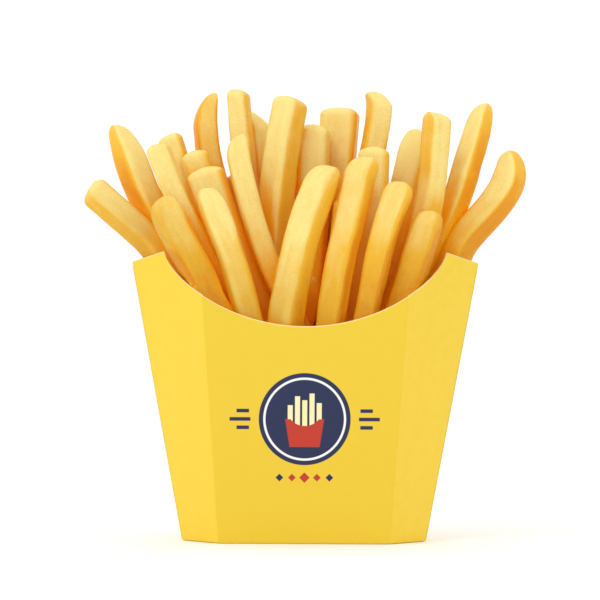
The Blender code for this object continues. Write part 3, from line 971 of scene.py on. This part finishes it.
def print_badge(nodes, colour, x, z, front):
    """A plain round badge with a small carton of sticks, bars at its sides and a row of diamonds below."""
    x = nodes.times(x, 1 / MM)
    z = nodes.math("SUBTRACT", nodes.times(z, 1 / MM), BADGE_Z)
    radius = from_centre(nodes, x, z)
    layers = [(nodes.math("SUBTRACT", radius, BADGE_RADIUS - inset), ink) for inset, ink in BADGE_RINGS]
    for place, top in STICKS:
        centre, half = (place, (top + STICK_FOOT) / 2), (STICK_HALF, (top - STICK_FOOT) / 2)
        layers.append((shape_box(nodes, x, z, centre, half), PRINT_CREAM))
    layers.append((printed_cup(nodes, x, z), PRINT_RED))
    for side in (-1, 1):
        for height, inner, outer in BARS:
            centre = (side * (inner + outer) / 2, height)
            layers.append((shape_box(nodes, x, z, centre, ((outer - inner) / 2, BAR_HALF)), PRINT_NAVY))
    for place, size, ink in DIAMONDS:
        layers.append((shape_box(nodes, x, z, (place, DIAMONDS_Z), (size, size), True), ink))
    for distance, ink in layers:
        colour = nodes.mix(nodes.math("MULTIPLY", inside(nodes, distance), front), colour, ink)
    return colour


def printed_board():
    """Yellow printed board: faint mottling, a pale line along its cut edge, the badge, and a front panel in
    painted shade.
    """
    nodes = Nodes("carton_board_print")
    place, x, _, z = nodes.object_xyz()
    front = nodes.attribute("front", "Fac")
    mottle = nodes.noise(place, *MOTTLE_TEXTURE)
    fibres = nodes.noise(nodes.stretch(place, PRINT_STRETCH), *PRINT_TEXTURE)
    # Painted shade: the front panel gets the darker yellow.
    colour = nodes.mix(front, BOARD_SIDE, BOARD_FRONT_SHADED)
    colour = nodes.mix(nodes.ramp(mottle, *MOTTLE_SPAN, 0, MOTTLE_SHARE), colour, BOARD_DEEP)
    colour = print_badge(nodes, colour, x, z, front)
    colour = nodes.mix(nodes.ramp(nodes.attribute("edge", "Fac"), *EDGE_SPAN), colour, BOARD_EDGE)
    relief = nodes.math("ADD", nodes.times(mottle, 0.5), nodes.times(fibres, 0.5))
    nodes.bump(relief, PRINT_RELIEF, BOARD_BUMP)
    roughness = nodes.ramp(mottle, *NOISE_SPAN, *PRINT_ROUGHNESS)
    return nodes.set(Base_Color=colour, Roughness=roughness, Specular_IOR_Level=PRINT_SHINE)


def bare_board(name, light, dark):
    """Unprinted board with paper fibres, for the inside and the cut edge."""
    nodes = Nodes(name)
    place = nodes.object_xyz()[0]
    fibres = nodes.noise(nodes.stretch(place, BARE_STRETCH), *BARE_TEXTURE)
    nodes.bump(fibres, BARE_RELIEF, BOARD_BUMP)
    colour = nodes.mix(nodes.ramp(fibres, *NOISE_SPAN), light, dark)
    return nodes.set(Base_Color=colour, Roughness=nodes.ramp(fibres, *NOISE_SPAN, *BARE_ROUGHNESS))


def add_occlusion(pieces, blockers):
    """Writes how enclosed each vertex is, as the attribute deep, which the skin paints as shade."""
    rng = random.Random(LOOK_SEED)
    points, polygons = [], []
    graph = bpy.context.evaluated_depsgraph_get()
    for piece in blockers:
        mesh = piece.evaluated_get(graph).to_mesh()
        start = len(points)
        points.extend(vertex.co.copy() for vertex in mesh.vertices)
        polygons.extend([start + i for i in polygon.vertices] for polygon in mesh.polygons)
        piece.evaluated_get(graph).to_mesh_clear()
    tree = BVHTree.FromPolygons(points, polygons)
    for piece in pieces:
        mesh = piece.data
        count = len(mesh.vertices)
        places = np.empty(count * 3)
        mesh.vertices.foreach_get("co", places)
        normals = np.empty(count * 3)
        mesh.vertex_normals.foreach_get("vector", normals)
        hidden = occlusion(places.reshape(-1, 3), normals.reshape(-1, 3), tree, rng)
        attribute = mesh.attributes.new("painted_occlusion", "FLOAT", "POINT")
        attribute.data.foreach_set("value", hidden.astype(np.float32))


def area_light(name, place, target, size, power, colour):
    light = bpy.data.lights.new(name, "AREA")
    light.shape = "DISK"
    light.size = size
    light.energy = power
    light.color = colour
    lamp = bpy.data.objects.new(name, light)
    lamp.location = place
    lamp.rotation_euler = (Vector(target) - Vector(place)).to_track_quat("-Z", "Y").to_euler()
    bpy.context.scene.collection.objects.link(lamp)


def studio():
    """A white floor and surround, one soft light, and the camera."""
    scene = bpy.context.scene
    scene.view_settings.view_transform = "Standard"
    scene.cycles.diffuse_bounces = LIGHT_BOUNCES
    scene.cycles.max_bounces = LIGHT_BOUNCES
    mesh = bpy.data.meshes.new("floor")
    outline = [(x * FLOOR_HALF, y * FLOOR_HALF, 0) for x, y in ((-1, -1), (1, -1), (1, 1), (-1, 1))]
    mesh.from_pydata(outline, [], [(0, 1, 2, 3)])
    floor = bpy.data.objects.new("floor", mesh)
    floor.location.z = -FLOOR_DROP
    scene.collection.objects.link(floor)
    nodes = Nodes("floor_white")
    white = nodes.set(Base_Color=WHITE, Roughness=FLOOR_ROUGHNESS, Specular_IOR_Level=FLOOR_SHINE)
    mesh.materials.append(white)
    world = bpy.data.worlds.new("surround")
    world.use_nodes = True
    background = world.node_tree.nodes["Background"]
    background.inputs["Color"].default_value = (*WHITE, 1)
    background.inputs["Strength"].default_value = WORLD_STRENGTH
    scene.world = world
    area_light("key", KEY_PLACE, KEY_TARGET, KEY_SIZE, KEY_POWER, KEY_COLOUR)
    camera = bpy.data.cameras.new("camera")
    camera.sensor_width = SENSOR
    focal = CAMERA_AWAY / (MM_PER_PX * MM)
    camera.lens = focal / FRAME_PX * SENSOR
    camera.clip_start = CLIP_START
    pitch = math.atan((BASE_PX - CAMERA_Z / (MM_PER_PX * MM) - FRAME_PX / 2) / focal)
    eye = bpy.data.objects.new("camera", camera)
    turn = Matrix.Rotation(math.pi / 2 + pitch, 4, "X") @ Matrix.Rotation(CAMERA_ROLL, 4, "Z")
    eye.matrix_world = Matrix.Translation((CAMERA_X, -CAMERA_AWAY, CAMERA_Z)) @ turn
    scene.collection.objects.link(eye)
    scene.camera = eye


def corners(box):
    return [[float(value) for value in corner] for corner in box]


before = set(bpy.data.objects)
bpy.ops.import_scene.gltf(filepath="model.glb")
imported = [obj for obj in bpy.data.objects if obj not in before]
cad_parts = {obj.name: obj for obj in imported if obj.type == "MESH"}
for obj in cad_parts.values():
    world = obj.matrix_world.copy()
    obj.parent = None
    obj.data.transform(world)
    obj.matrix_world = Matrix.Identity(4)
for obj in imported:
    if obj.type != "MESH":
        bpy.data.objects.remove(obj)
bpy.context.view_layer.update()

heap_piece = fry_heap()
core = core_piece()
carton = carton_piece()
add_occlusion([heap_piece, core], [heap_piece, core, carton])
skin = fried_potato()
for piece in (heap_piece, core):
    piece.data.materials.append(skin)
    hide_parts("fries")
    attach(piece, "root")
for board in (
    printed_board(),
    bare_board("carton_board_inside", BOARD_INSIDE, BOARD_INSIDE_DARK),
    bare_board("carton_board_edge", BOARD_EDGE, BOARD_EDGE_DARK),
):
    carton.data.materials.append(board)
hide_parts("carton")
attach(carton, "root")
studio()
